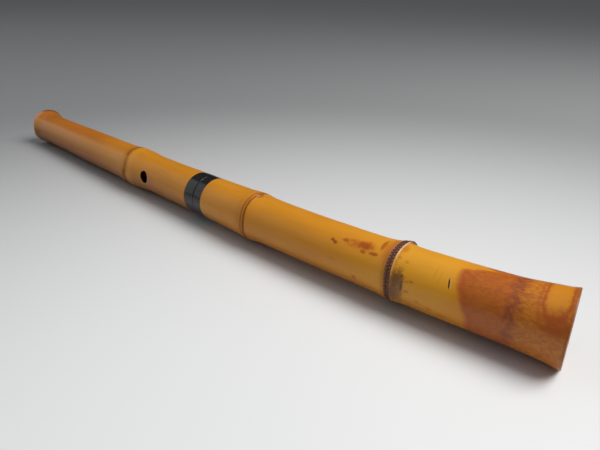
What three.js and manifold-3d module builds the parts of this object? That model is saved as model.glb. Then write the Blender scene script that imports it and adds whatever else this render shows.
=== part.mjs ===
// A shakuhachi: an end-blown flute made of two lengths of root-end bamboo that pull apart at a middle joint.
// Sizes are millimetres and Z is up. The flute lies on its side on the plane Z = 0, with its mouth towards -X,
// its root end towards +X, its thumb hole (the back) towards -Y and its four finger holes (the front) towards +Y.
// Places along the flute are measured from the mouth. Angles round it are measured from the top towards the back.
import * as THREE from "three";
import { mergeVertices } from "three/addons/utils/BufferGeometryUtils.js";
import Module from "manifold-3d";

const wasm = await Module();
wasm.setup();

// Overall length, and where the two lengths meet
const fluteLength = 545;
const jointFromMouth = 285;

// Girth of the bamboo between its nodes
const waistRadius = 14.75;
const jointRadius = 15.75;
const rootRadius = 17.45;
const upperGirthShares = [
  [0, 0],
  [0.12, 0.02],
  [0.21, 0.11],
  [0.35, 0.58],
  [0.44, 0.72],
  [0.54, 0.84],
  [0.62, 0.74],
  [0.75, 0.54],
  [0.86, 0.65],
  [1, 1],
];
const lowerGirthShares = [
  [0, 0],
  [0.125, 0.25],
  [0.25, 0.06],
  [0.365, 0.07],
  [0.46, 0.12],
  [0.56, 0.21],
  [0.73, 0.7],
  [0.8, 0.89],
  [0.86, 1],
  [1, 1],
];

// The mouth end swells into the cut first node, more at the top than below, and the root end flares to the bell
const mouthRise = 2.5;
const mouthReach = 9;
const mouthLift = 1.3;
const bellRise = 3.2;
const bellFlareLength = 48;
const bellFlarePower = 2.3;
const bellLipRise = 0.5;
const bellLipReach = 4;
const mouthRimRound = 1.1;
const bellRimRound = 0.5;

// The natural bends: a slight one above the joint, a longer one at the root and a tighter one at the bell
const upperBendDegrees = 1.1;
const rootBendDegrees = 5.9;
const bellBendDegrees = 6.1;
const bellBendLength = 50;
const jointStraight = 12;

// The node above the thumb hole: one fine groove with a hump below it, dipping where a side shoot once grew
const thumbNodeFromMouth = 187.2;
const thumbNodeHumpOffset = 5;
const thumbNodeRise = 1.35;
const thumbNodeReach = 17;
const thumbNodeGroove = 0.4;
const thumbNodeDip = 3.6;
const thumbNodeDipDegrees = 70;
const thumbNodeDipSpreadDegrees = 30;

// The node below the joint: two fine grooves with a ridge between them
const middleNodeBelowJoint = 56;
const middleNodeHumpOffset = -2.5;
const middleNodeRise = 1.05;
const middleNodeReach = 10.6;
const middleNodeGroove = 0.45;
const middleNodeSecondGroove = 0.28;
const middleNodeGrooveSpacing = 2.4;

// The root node: a dark ring of two rows of root buds, with a raised line on its bell side
const rootNodeAboveBell = 92;
const rootNodeRise = 0.8;
const rootNodeReach = 7.5;
const rootNodeDip = 1.8;
const rootNodeDipDegrees = 98;
const rootNodeDipSpreadDegrees = 42;
const rootLineOffset = 2.4;
const rootLineRise = 0.25;
const budRise = 0.5;
const budBury = 0.35;
const budRowSpacing = 2.1;
const budRingDepth = 2;
const budsInRow = 52;

// Grooves and fine lines share one width
const grooveWidth = 0.75;
const nodeDipReach = 14;

// The finger holes and the thumb hole
const thumbHoleDegrees = 83;
const holeRadius = 5.1;
const holeRimDish = 0.5;
const holeAboveJoint = 24.5;
const thumbHoleAboveHole = 42.5;
const holeBelowJoint = 31;
const fingerSpacing = 54.5;

// The mouth: an oblique cut that makes the blowing edge at the front, and a chin cut at the back
const edgeDip = 2.6;
const edgeCutLength = 11.5;
const chinCutLength = 5.2;
const chinCutInset = 3.1;
const inlayTopWidth = 13;
const inlayFootWidth = 9.5;
const inlayLength = 9.6;

// The bore, which a lacquered filler forms inside each length of bamboo
const boreMouthRadius = 10;
const boreJointRadius = 9.3;
const boreThroatRadius = 7.9;
const boreBellRadius = 9.8;
const throatAboveBell = 115;
const upperLiningWall = 1.2;
const lowerLiningWall = 1.6;
const inlayFootLand = 1.4;

// The joint: a tenon fixed in the upper length, a lined socket in the lower one, and a binding round each
const tenonRadius = 11;
const tenonSeatLength = 18;
const tenonReach = 21;
const tenonEdgeRound = 0.4;
const sleeveWall = 1;
const bandDepth = 0.8;
const upperBandWidth = 11;
const lowerBandWidth = 9;
const bandEdgeRound = 0.25;

// Gaps: between fixed neighbours, between the tenon and its socket, and across the seam
const seatGap = 0.15;
const slideClearance = 0.08;
const seamGap = 0.16;

// Counts and the overrun of every cut
const sides = 32;
const holeSides = 20;
const skinStationSpacing = 24;
const boreStationSpacing = 45;
const cutOverrun = 3;

// Close rings on a skin, as shares of a groove's width and of a node's, the mouth's and the bell's reach
const grooveRingShares = [-1.8, -0.8, 0, 0.8, 1.8];
const nodeRingShares = [-1.3, -0.7, -0.35, 0.35, 0.7, 1.3];
const mouthRingShares = [0.2, 0.42, 0.7, 1.05, 1.55, 2.25];
const bellRingShares = [0.15, 0.3, 0.5, 0.75, 1];
const leastRingGapShare = 0.5;
const leastBoreRingGapShare = 0.17;

const thumbAngle = THREE.MathUtils.degToRad(thumbHoleDegrees);
const frontAngle = thumbAngle + Math.PI;
const liningFromMouth = inlayLength + inlayFootLand;
const thumbNode = thumbNodeFromMouth;
const middleNode = jointFromMouth + middleNodeBelowJoint;
const rootNode = fluteLength - rootNodeAboveBell;
const fourthHole = jointFromMouth - holeAboveJoint;
const thumbHole = fourthHole - thumbHoleAboveHole;
const thirdHole = jointFromMouth + holeBelowJoint;
const secondHole = thirdHole + fingerSpacing;
const firstHole = secondHole + fingerSpacing;
const upperEnd = jointFromMouth - seamGap / 2;
const lowerStart = jointFromMouth + seamGap / 2;
const upperBandStart = jointFromMouth - upperBandWidth;
const lowerBandEnd = jointFromMouth + lowerBandWidth;
const tenonStart = jointFromMouth - tenonSeatLength;
const tenonEnd = jointFromMouth + tenonReach;
const socketEnd = tenonEnd + 2 * seatGap;
const sleeveBore = tenonRadius + slideClearance;
const sleeveRadius = sleeveBore + sleeveWall;
const holeAxes = {
  upper: [
    [thumbHole, thumbAngle],
    [fourthHole, frontAngle],
  ],
  lower: [
    [thirdHole, frontAngle],
    [secondHole, frontAngle],
    [firstHole, frontAngle],
  ],
};

// Runs of the centreline from the mouth: each has a length and the angle that it turns through
function centrelineRuns() {
  const upperBendLength = tenonStart - jointStraight;
  const rootBendStart = tenonEnd + 2 * jointStraight;
  const rootBendLength = fluteLength - bellBendLength - rootBendStart;
  return [
    { length: upperBendLength, turn: THREE.MathUtils.degToRad(upperBendDegrees) },
    { length: rootBendStart - upperBendLength, turn: 0 },
    { length: rootBendLength, turn: THREE.MathUtils.degToRad(rootBendDegrees) },
    { length: bellBendLength, turn: THREE.MathUtils.degToRad(bellBendDegrees) },
  ];
}

const runs = centrelineRuns();

// The centre and heading of the flute at a place along it: arcs and straights joined end to end
function centreAt(at) {
  let heading = -runs[0].turn;
  let left = at;
  const centre = new THREE.Vector3();
  runs.forEach((run, index) => {
    const last = index === runs.length - 1;
    const step = last ? left : Math.min(left, run.length);
    const bend = run.turn / run.length;
    const next = heading + bend * step;
    if (bend === 0) {
      centre.x += step * Math.cos(heading);
      centre.y += step * Math.sin(heading);
    } else {
      centre.x += (Math.sin(next) - Math.sin(heading)) / bend;
      centre.y += (Math.cos(heading) - Math.cos(next)) / bend;
    }
    heading = next;
    left -= step;
  });
  return { centre, heading };
}

// A frame on the centreline: x along the flute, y outwards at the angle and z across
function frameAt(at, angle) {
  const { centre, heading } = centreAt(at);
  const along = new THREE.Vector3(Math.cos(heading), Math.sin(heading), 0);
  const side = new THREE.Vector3(Math.sin(heading), -Math.cos(heading), 0);
  const out = new THREE.Vector3(0, 0, 1).multiplyScalar(Math.cos(angle));
  out.addScaledVector(side, Math.sin(angle));
  const across = new THREE.Vector3().crossVectors(along, out);
  return new THREE.Matrix4().makeBasis(along, out, across).setPosition(centre);
}

// A monotone cubic through points given as pairs of place and value
function smoothThrough(points, at) {
  const slope = (i) => (points[i + 1][1] - points[i][1]) / (points[i + 1][0] - points[i][0]);
  const tangent = (i) => {
    if (i === 0 || i === points.length - 1) return 0;
    const before = slope(i - 1);
    const after = slope(i);
    return before * after <= 0 ? 0 : (2 * before * after) / (before + after);
  };
  if (at <= points[0][0]) return points[0][1];
  const end = points.findIndex((point) => point[0] > at);
  if (end < 0) return points[points.length - 1][1];
  const width = points[end][0] - points[end - 1][0];
  const share = (at - points[end - 1][0]) / width;
  const rest = 1 - share;
  const rise = points[end - 1][1] * (1 + 2 * share) * rest * rest + points[end][1] * (3 - 2 * share) * share * share;
  const lean = tangent(end - 1) * share * rest * rest - tangent(end) * share * share * rest;
  return rise + lean * width;
}

function bump(distance, reach) {
  return Math.exp(-((distance / reach) ** 2));
}

// Radius of the bamboo without its nodes
function girthAt(at) {
  if (at < jointFromMouth) {
    const share = smoothThrough(upperGirthShares, at / jointFromMouth);
    return waistRadius + (jointRadius - waistRadius) * share;
  }
  const below = (at - jointFromMouth) / (fluteLength - jointFromMouth);
  return jointRadius + (rootRadius - jointRadius) * smoothThrough(lowerGirthShares, below);
}

// Radius of the finished skin, with the nodes, the swollen mouth and the flared bell
function skinRadius(at) {
  const flareShare = Math.max(0, 1 - (fluteLength - at) / bellFlareLength);
  let radius = girthAt(at);
  radius += mouthRise * bump(at, mouthReach);
  radius += bellRise * flareShare ** bellFlarePower;
  radius += bellLipRise * bump(fluteLength - at, bellLipReach);
  radius += thumbNodeRise * bump(at - thumbNode - thumbNodeHumpOffset, thumbNodeReach);
  radius -= thumbNodeGroove * bump(at - thumbNode, grooveWidth);
  radius += middleNodeRise * bump(at - middleNode - middleNodeHumpOffset, middleNodeReach);
  radius -= middleNodeGroove * bump(at - middleNode, grooveWidth);
  radius -= middleNodeSecondGroove * bump(at - middleNode + middleNodeGrooveSpacing, grooveWidth);
  radius += rootNodeRise * bump(at - rootNode, rootNodeReach);
  radius += rootLineRise * bump(at - rootNode - rootLineOffset, grooveWidth);
  return radius;
}

// How far the rings round the thumb node and the root node are drawn towards the bell at each angle
function dipAt(at, angle) {
  const round = (degrees, spread) => bump(THREE.MathUtils.radToDeg(angle) - degrees, spread);
  const thumb = thumbNodeDip * round(thumbNodeDipDegrees, thumbNodeDipSpreadDegrees);
  const root = rootNodeDip * round(rootNodeDipDegrees, rootNodeDipSpreadDegrees);
  return thumb * bump(at - thumbNode, nodeDipReach) + root * bump(at - rootNode, nodeDipReach);
}

// How far the swell at the mouth is set upwards
function liftAt(at) {
  return mouthLift * bump(at, mouthReach);
}

// Places for the rings of a skin: even steps, with close ones at its grooves, its nodes and its ends
function skinStations(from, to) {
  const places = [];
  const addRings = (centre, reach, shares) => shares.forEach((share) => places.push(centre + reach * share));
  addRings(thumbNode, grooveWidth, grooveRingShares);
  addRings(thumbNode + thumbNodeHumpOffset, thumbNodeReach, nodeRingShares);
  addRings(middleNode, grooveWidth, grooveRingShares);
  addRings(middleNode - middleNodeGrooveSpacing, grooveWidth, grooveRingShares);
  addRings(middleNode + middleNodeHumpOffset, middleNodeReach, nodeRingShares);
  addRings(rootNode + rootLineOffset, grooveWidth, grooveRingShares);
  addRings(rootNode, rootNodeReach, nodeRingShares);
  addRings(0, mouthReach, mouthRingShares);
  addRings(fluteLength, -bellFlareLength, bellRingShares);
  const count = Math.round(fluteLength / skinStationSpacing);
  for (let i = 0; i <= count; i++) places.push((fluteLength * i) / count);
  const least = grooveWidth * leastRingGapShare;
  const kept = [from];
  for (const at of places.sort((a, b) => a - b)) {
    if (at > kept[kept.length - 1] + least && at < to - least) kept.push(at);
  }
  return [...kept, to];
}

// Radius of the bore
function boreRadius(at) {
  const points = [
    [0, boreMouthRadius],
    [jointFromMouth, boreJointRadius],
    [fluteLength - throatAboveBell, boreThroatRadius],
    [fluteLength, boreBellRadius],
  ];
  return smoothThrough(points, at);
}

// Places for the rings of a bore, the same for a lining and for the wall round it
function boreStations(from, to) {
  const count = Math.round(fluteLength / boreStationSpacing);
  const inside = [];
  for (let i = 0; i <= count; i++) inside.push((fluteLength * i) / count);
  const least = boreStationSpacing * leastBoreRingGapShare;
  return [from, ...inside.filter((at) => at > from + least && at < to - least), to];
}

// A solid of rings round the bent centreline. The profile is a closed loop of places and radii, run towards the
// bell on its outside and back towards the mouth on its inside. A radius may depend on the ring's step.
function bentLathe(profile, steps = sides) {
  const positions = [];
  const faces = [];
  profile.forEach(({ at, radius, dips, lift = 0 }, row) => {
    const next = (row + 1) % profile.length;
    for (let step = 0; step < steps; step++) {
      const angle = (2 * Math.PI * step) / steps;
      const place = dips ? at + dipAt(at, angle) : at;
      const reach = (typeof radius === "function" ? radius(step) : radius) + lift * Math.cos(angle);
      const point = new THREE.Vector3(0, reach, 0).applyMatrix4(frameAt(place, angle));
      positions.push(point.x, point.y, point.z);
      const after = (step + 1) % steps;
      const [a, b] = [row * steps + step, row * steps + after];
      const [c, d] = [next * steps + step, next * steps + after];
      faces.push(a, b, c, b, d, c);
    }
  });
  const geometry = new THREE.BufferGeometry();
  geometry.setAttribute("position", new THREE.Float32BufferAttribute(positions, 3));
  geometry.setIndex(faces);
  return geometry;
}

function toSolid(geometry) {
  const bare = geometry.clone();
  bare.deleteAttribute("normal");
  bare.deleteAttribute("uv");
  const merged = mergeVertices(bare);
  const vertProperties = merged.getAttribute("position").array;
  const triVerts = new Uint32Array(merged.index.array);
  return new wasm.Manifold(new wasm.Mesh({ numProp: 3, vertProperties, triVerts }));
}

function toGeometry(solid) {
  const mesh = solid.getMesh();
  const positions = [];
  for (let i = 0; i < mesh.numVert; i++) {
    for (let k = 0; k < 3; k++) positions.push(mesh.vertProperties[i * mesh.numProp + k]);
  }
  const geometry = new THREE.BufferGeometry();
  geometry.setAttribute("position", new THREE.Float32BufferAttribute(positions, 3));
  geometry.setIndex(Array.from(mesh.triVerts));
  return geometry;
}

// A finger hole's cutter: a straight hole from the bore outwards, dished where it meets the skin
function holeCutter(at, angle) {
  const skin = skinRadius(at);
  const points = [
    new THREE.Vector2(0, 0),
    new THREE.Vector2(holeRadius, 0),
    new THREE.Vector2(holeRadius, skin - 2 * holeRimDish),
    new THREE.Vector2(holeRadius + holeRimDish / 2, skin - holeRimDish / 2),
    new THREE.Vector2(holeRadius + 2 * holeRimDish + cutOverrun, skin + cutOverrun),
    new THREE.Vector2(0, skin + cutOverrun),
  ];
  return toSolid(new THREE.LatheGeometry(points, holeSides).applyMatrix4(frameAt(at, angle)));
}

function cutHoles(solid, axes) {
  return axes.reduce((rest, [at, angle]) => rest.subtract(holeCutter(at, angle)), solid);
}

// A prism across the flute at an angle, drawn in the plane of x along the flute and y outwards
function crossPrism(points, width, angle) {
  const shape = new THREE.Shape(points.map(([x, y]) => new THREE.Vector2(x, y)));
  const prism = new THREE.ExtrudeGeometry(shape, { depth: width, bevelEnabled: false });
  return toSolid(prism.translate(0, 0, -width / 2).applyMatrix4(frameAt(0, angle)));
}

// What the oblique cut takes away at the front of the mouth
function edgeCut() {
  const slope = (skinRadius(edgeCutLength) - boreMouthRadius) / (edgeCutLength - edgeDip);
  const line = (x) => boreMouthRadius + (x - edgeDip) * slope;
  const top = skinRadius(0) + cutOverrun;
  const end = edgeDip + (top - boreMouthRadius) / slope;
  const points = [
    [-cutOverrun, line(-cutOverrun)],
    [end, top],
    [-cutOverrun, top],
  ];
  return crossPrism(points, 2 * top, frontAngle);
}

// What the chin cut takes away at the back of the mouth
function chinCut() {
  const rim = skinRadius(0);
  const slope = chinCutInset / chinCutLength;
  const line = (x) => rim - chinCutInset + x * slope;
  const points = [
    [-cutOverrun, line(-cutOverrun)],
    [chinCutLength + cutOverrun, line(chinCutLength + cutOverrun)],
    [-cutOverrun, line(chinCutLength + cutOverrun)],
  ];
  return crossPrism(points, 2 * (rim + cutOverrun), thumbAngle);
}

// The tapering block that the inlay is cut from, and its pocket when it starts above the rim and has a gap round it
function inlayBlock(start, gap) {
  const foot = inlayLength + gap;
  const taper = (inlayTopWidth - inlayFootWidth) / (2 * inlayLength);
  const topHalf = inlayTopWidth / 2 + gap - start * taper;
  const footHalf = inlayFootWidth / 2 + gap;
  const shape = new THREE.Shape([
    new THREE.Vector2(start, -topHalf),
    new THREE.Vector2(foot, -footHalf),
    new THREE.Vector2(foot, footHalf),
    new THREE.Vector2(start, topHalf),
  ]);
  const depth = skinRadius(0) - boreMouthRadius / 2;
  const block = new THREE.ExtrudeGeometry(shape, { depth, bevelEnabled: false });
  block.rotateX(-Math.PI / 2).translate(0, boreMouthRadius / 2, 0);
  return toSolid(block.applyMatrix4(frameAt(0, frontAngle)));
}

// A plug of the bore's size at the mouth
function boreFill() {
  const reach = liningFromMouth + cutOverrun;
  const fill = new THREE.CylinderGeometry(boreMouthRadius, boreMouthRadius, 2 * reach, sides);
  return toSolid(fill.rotateZ(Math.PI / 2).applyMatrix4(frameAt(0, frontAngle)));
}

// Upper length of bamboo, from the mouth to the seam, bored for the lining and the tenon
function upperTube() {
  const seat = bandDepth + seatGap;
  const skinRing = (at) => ({ at, radius: skinRadius(at), dips: true, lift: liftAt(at) });
  const outside = skinStations(0, upperBandStart).map(skinRing);
  outside[0] = { ...skinRing(0), radius: skinRadius(0) - mouthRimRound };
  outside.splice(1, 0, skinRing(mouthRimRound));
  outside.push({ at: upperBandStart, radius: skinRadius(upperBandStart) - seat });
  outside.push({ at: upperEnd, radius: skinRadius(upperEnd) - seat });
  const inside = [
    { at: upperEnd, radius: tenonRadius + seatGap },
    { at: tenonStart - seatGap, radius: tenonRadius + seatGap },
  ];
  const wall = upperLiningWall + seatGap;
  for (const at of boreStations(liningFromMouth, tenonStart - seatGap).reverse()) {
    inside.push({ at, radius: boreRadius(at) + wall });
  }
  inside.push({ at: liningFromMouth, radius: boreRadius(liningFromMouth) });
  inside.push({ at: 0, radius: boreMouthRadius });
  const tube = toSolid(bentLathe([...outside, ...inside]));
  const mouth = tube.subtract(chinCut()).subtract(edgeCut()).subtract(inlayBlock(-cutOverrun, seatGap));
  return toGeometry(cutHoles(mouth, holeAxes.upper));
}

// The horn wedge of the blowing edge: flush with the oblique cut outside and with the bore inside
function blowingEdgeInlay() {
  return toGeometry(inlayBlock(0, 0).subtract(edgeCut()).subtract(boreFill()));
}

// A ring of two staggered rows of root buds, sunk into the skin of the root node
function budRing() {
  const steps = 2 * budsInRow;
  const first = rootNode - budRowSpacing / 2;
  const second = rootNode + budRowSpacing / 2;
  const start = first - budRowSpacing / 2;
  const end = second + budRowSpacing / 2;
  const row = (at, phase) => (step) => skinRadius(at) + ((step + phase) % 2 ? -budBury : budRise);
  return toSolid(
    bentLathe(
      [
        { at: start, radius: skinRadius(start) - budBury },
        { at: first, radius: row(first, 0) },
        { at: rootNode, radius: skinRadius(rootNode) - budBury / 2 },
        { at: second, radius: row(second, 1) },
        { at: end, radius: skinRadius(end) - budBury },
        { at: end, radius: skinRadius(end) - budRingDepth },
        { at: start, radius: skinRadius(start) - budRingDepth },
      ].map((ring) => ({ ...ring, dips: true })),
      steps,
    ),
  );
}

// Lower length of bamboo, from the seam to the bell, bored for the socket sleeve and the lining
function lowerTube() {
  const seat = bandDepth + seatGap;
  const outside = [
    { at: lowerStart, radius: skinRadius(lowerStart) - seat },
    { at: lowerBandEnd, radius: skinRadius(lowerBandEnd) - seat },
  ];
  for (const at of skinStations(lowerBandEnd, fluteLength)) outside.push({ at, radius: skinRadius(at), dips: true });
  outside[outside.length - 1] = { at: fluteLength, radius: skinRadius(fluteLength) - bellRimRound };
  outside.splice(-1, 0, { at: fluteLength - bellRimRound, radius: skinRadius(fluteLength - bellRimRound) });
  const wall = lowerLiningWall + seatGap;
  const inside = [];
  for (const at of boreStations(socketEnd, fluteLength).reverse()) inside.push({ at, radius: boreRadius(at) + wall });
  inside.push({ at: socketEnd, radius: sleeveRadius + seatGap });
  inside.push({ at: lowerStart, radius: sleeveRadius + seatGap });
  const tube = toSolid(bentLathe([...outside, ...inside])).add(budRing());
  return toGeometry(cutHoles(tube, holeAxes.lower));
}

// A lining: a thin tube whose inside is the bore
function boreLining(from, to, wall, axes) {
  const places = boreStations(from, to);
  const outside = places.map((at) => ({ at, radius: boreRadius(at) + wall }));
  const inside = places.map((at) => ({ at, radius: boreRadius(at) })).reverse();
  return toGeometry(cutHoles(toSolid(bentLathe([...outside, ...inside])), axes));
}

function upperBoreLining() {
  const from = liningFromMouth + seatGap;
  return boreLining(from, tenonStart - 2 * seatGap, upperLiningWall, holeAxes.upper);
}

function lowerBoreLining() {
  return boreLining(socketEnd + seatGap, fluteLength, lowerLiningWall, holeAxes.lower);
}

// The tenon: a short straight tube, eased at the end that enters the socket
function tenon() {
  return bentLathe([
    { at: tenonStart, radius: tenonRadius },
    { at: tenonEnd - tenonEdgeRound, radius: tenonRadius },
    { at: tenonEnd, radius: tenonRadius - tenonEdgeRound },
    { at: tenonEnd, radius: boreRadius(tenonEnd) },
    { at: tenonStart, radius: boreRadius(tenonStart) },
  ]);
}

// The sleeve that lines the socket and stops short of its shoulder
function socketSleeve() {
  const end = socketEnd - seatGap;
  return bentLathe([
    { at: lowerStart, radius: sleeveRadius },
    { at: end, radius: sleeveRadius },
    { at: end, radius: sleeveBore },
    { at: lowerStart + tenonEdgeRound, radius: sleeveBore },
    { at: lowerStart, radius: sleeveBore + tenonEdgeRound },
  ]);
}

// A lacquered binding in its seat, flush with the bamboo, with an eased edge at the seam
function jointBand(from, to, seam) {
  const inner = (at) => skinRadius(at) - bandDepth;
  const ease = Math.sign(seam - (from + to) / 2) * bandEdgeRound;
  const eased = [
    { at: seam - ease, radius: skinRadius(seam - ease) },
    { at: seam, radius: skinRadius(seam) - bandEdgeRound },
  ];
  const plain = seam === to ? from : to;
  const outside = [{ at: plain, radius: skinRadius(plain) }, ...eased];
  if (seam === from) outside.reverse();
  return bentLathe([...outside, { at: to, radius: inner(to) }, { at: from, radius: inner(from) }]);
}

const bambooUpper = new THREE.MeshStandardMaterial({ color: 0xc68a33, roughness: 0.32, metalness: 0 });
const bambooLower = new THREE.MeshStandardMaterial({ color: 0xcf8c2c, roughness: 0.28, metalness: 0 });
const blackLacquer = new THREE.MeshStandardMaterial({ color: 0x15151a, roughness: 0.18, metalness: 0 });
const horn = new THREE.MeshStandardMaterial({ color: 0x1c1714, roughness: 0.25, metalness: 0 });
const boreLacquer = new THREE.MeshStandardMaterial({ color: 0x6d1f12, roughness: 0.3, metalness: 0 });
const tenonWood = new THREE.MeshStandardMaterial({ color: 0x8a5a26, roughness: 0.45, metalness: 0 });
const sleeveWood = new THREE.MeshStandardMaterial({ color: 0x7a4d22, roughness: 0.45, metalness: 0 });

const flute = new THREE.Group();

function addPiece(name, geometry, material) {
  const mesh = new THREE.Mesh(geometry, material);
  mesh.name = name;
  flute.add(mesh);
}

addPiece("upper_tube", upperTube(), bambooUpper);
addPiece("blowing_edge_inlay", blowingEdgeInlay(), horn);
addPiece("upper_bore_lining", upperBoreLining(), boreLacquer);
addPiece("tenon", tenon(), tenonWood);
addPiece("upper_joint_band", jointBand(upperBandStart + seatGap, upperEnd, upperEnd), blackLacquer);
addPiece("lower_tube", lowerTube(), bambooLower);
addPiece("socket_sleeve", socketSleeve(), sleeveWood);
addPiece("lower_bore_lining", lowerBoreLining(), boreLacquer.clone());
addPiece("lower_joint_band", jointBand(lowerStart, lowerBandEnd - seatGap, lowerStart), blackLacquer.clone());

// The flute lies on the rims of its two ends, so it is tilted by the difference of their radii
const mouthCentre = centreAt(0).centre;
const bellCentre = centreAt(fluteLength).centre;
const mouthUnderside = skinRadius(mouthRimRound) - liftAt(mouthRimRound);
const rimRise = skinRadius(fluteLength - bellRimRound) - mouthUnderside;
flute.rotation.y = -Math.atan2(rimRise, bellCentre.x - mouthCentre.x);

// The origin is under the middle of the flute, on the plane that it lies on
const part = new THREE.Group();
part.add(flute);
part.updateMatrixWorld(true);
const box = new THREE.Box3().setFromObject(part, true);
const middle = box.getCenter(new THREE.Vector3());
part.position.set(-middle.x, -middle.y, -box.min.z);

export default part;
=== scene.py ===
import math

import bpy
import numpy as np
from mathutils import Matrix, Vector


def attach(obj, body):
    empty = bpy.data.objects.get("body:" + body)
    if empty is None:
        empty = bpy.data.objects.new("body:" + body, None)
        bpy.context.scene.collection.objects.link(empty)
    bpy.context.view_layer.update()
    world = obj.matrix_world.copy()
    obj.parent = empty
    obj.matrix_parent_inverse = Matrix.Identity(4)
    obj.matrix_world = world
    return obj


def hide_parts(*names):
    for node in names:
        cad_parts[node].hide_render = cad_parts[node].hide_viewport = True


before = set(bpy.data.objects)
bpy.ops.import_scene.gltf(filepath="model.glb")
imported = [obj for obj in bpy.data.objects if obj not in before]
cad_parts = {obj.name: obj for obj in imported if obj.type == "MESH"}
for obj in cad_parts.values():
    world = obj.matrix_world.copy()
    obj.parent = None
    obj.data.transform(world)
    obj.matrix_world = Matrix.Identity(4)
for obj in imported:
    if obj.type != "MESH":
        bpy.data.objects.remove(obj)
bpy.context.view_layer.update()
scene = bpy.context.scene

# The view and the studio. The camera stands near the root end and looks back along the flute, which lies on a
# table painted palest in a wide pool of light beside the root end and darker away from it. A soft lamp
# overhead lights it, and a faint upright panel on the left gives its flank a sheen.
camera_place = Vector((0.32367, -0.24103, 0.17557))
camera_heading = math.radians(133.3697)
camera_pitch = math.radians(25.1954)
camera_roll = math.radians(0.8723)
camera_focal_px = 547.408
picture_width_px = 600

camera_data = bpy.data.cameras.new("view")
camera_data.lens = camera_data.sensor_width * camera_focal_px / picture_width_px
camera_data.clip_start = 0.01
camera_data.clip_end = 60
camera = bpy.data.objects.new("view", camera_data)
camera_turn = (
    Matrix.Rotation(camera_heading - math.pi / 2, 4, "Z")
    @ Matrix.Rotation(math.pi / 2 - camera_pitch, 4, "X")
    @ Matrix.Rotation(camera_roll, 4, "Z")
)
camera.matrix_world = Matrix.Translation(camera_place) @ camera_turn
scene.collection.objects.link(camera)
scene.camera = camera
scene.view_settings.view_transform = "Standard"


def lamp(name, place, aim, size, power, colour):
    data = bpy.data.lights.new(name, "AREA")
    data.shape = "RECTANGLE"
    data.size, data.size_y = size
    data.energy = power
    data.color = colour
    made = bpy.data.objects.new(name, data)
    made.location = place
    made.rotation_euler = (Vector(aim) - Vector(place)).to_track_quat("-Z", "Y").to_euler()
    scene.collection.objects.link(made)


lamp(
    "key_lamp",
    place=(0.75, 0.36, 1.1),
    aim=(0.0, 0.0, 0.0),
    size=(0.9, 0.8),
    power=19.8,
    colour=(1.0, 0.985, 0.96),
)
lamp(
    "side_panel",
    place=(-1.5, -0.98, 0.78),
    aim=(0.0, 0.0, 0.3),
    size=(1.9, 1.56),
    power=6.2,
    colour=(0.95, 0.97, 1.0),
)


class Varying:
    """A number or colour that varies over a surface. Sums with it add the shader nodes that work them out."""

    def __init__(self, tree, socket):
        self.tree, self.socket = tree, socket

    def worked(self, operation, *others):
        return through(self.tree, "Math", dict(enumerate((self, *others))), operation=operation)

    def __add__(self, other):
        return self.worked("ADD", other)

    def __sub__(self, other):
        return self.worked("SUBTRACT", other)

    def __mul__(self, other):
        return self.worked("MULTIPLY", other)

    def __truediv__(self, other):
        return self.worked("DIVIDE", other)

    def __pow__(self, other):
        return self.worked("POWER", other)

    def __abs__(self):
        return self.worked("ABSOLUTE")

    def put(self, *inputs):
        for socket in inputs:
            self.tree.links.new(self.socket, socket)


def add_node(tree, kind, inputs, **settings):
    """Adds a shader node, sets it up, and sets or joins its inputs."""
    made = tree.nodes.new("ShaderNode" + kind)
    for name, value in settings.items():
        setattr(made, name, value)
    for name, value in inputs.items():
        if isinstance(value, Varying):
            value.put(made.inputs[name])
        else:
            made.inputs[name].default_value = value
    return made


def through(tree, kind, inputs, output=0, **settings):
    """What comes out of a new shader node."""
    return Varying(tree, add_node(tree, kind, inputs, **settings).outputs[output])


def ramp(value, low, high, start=0.0, end=1.0):
    """A soft step from one value to another."""
    steps = {"Value": value, "From Min": low, "From Max": high, "To Min": start, "To Max": end}
    return through(value.tree, "MapRange", steps, "Result", interpolation_type="SMOOTHSTEP")


def mixed(share, first, second):
    """A colour between two."""
    first, second = (shade if isinstance(shade, Varying) else (*shade, 1.0) for shade in (first, second))
    return through(share.tree, "Mix", {0: share, 6: first, 7: second}, 2, data_type="RGBA")


studio_low, studio_high = 0.05, 0.56
studio = bpy.data.worlds.new("studio")
scene.world = studio
studio.use_nodes = True
studio_tree = studio.node_tree
studio_way = through(studio_tree, "TexCoord", {}, "Generated")
studio_height = through(studio_tree, "SeparateXYZ", {0: studio_way}, "Z") ** 3
studio_level = {"Value": studio_height, "To Min": studio_low, "To Max": studio_high}
studio_light = studio_tree.nodes["Background"]
studio_light.inputs["Color"].default_value = (0.95, 0.97, 1.0, 1.0)
through(studio_tree, "MapRange", studio_level, "Result").put(studio_light.inputs["Strength"])


def new_piece(name, points, faces):
    mesh = bpy.data.meshes.new(name)
    mesh.from_pydata(np.asarray(points, float).tolist(), [], faces)
    made = bpy.data.objects.new(name, mesh)
    scene.collection.objects.link(made)
    return made


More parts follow.
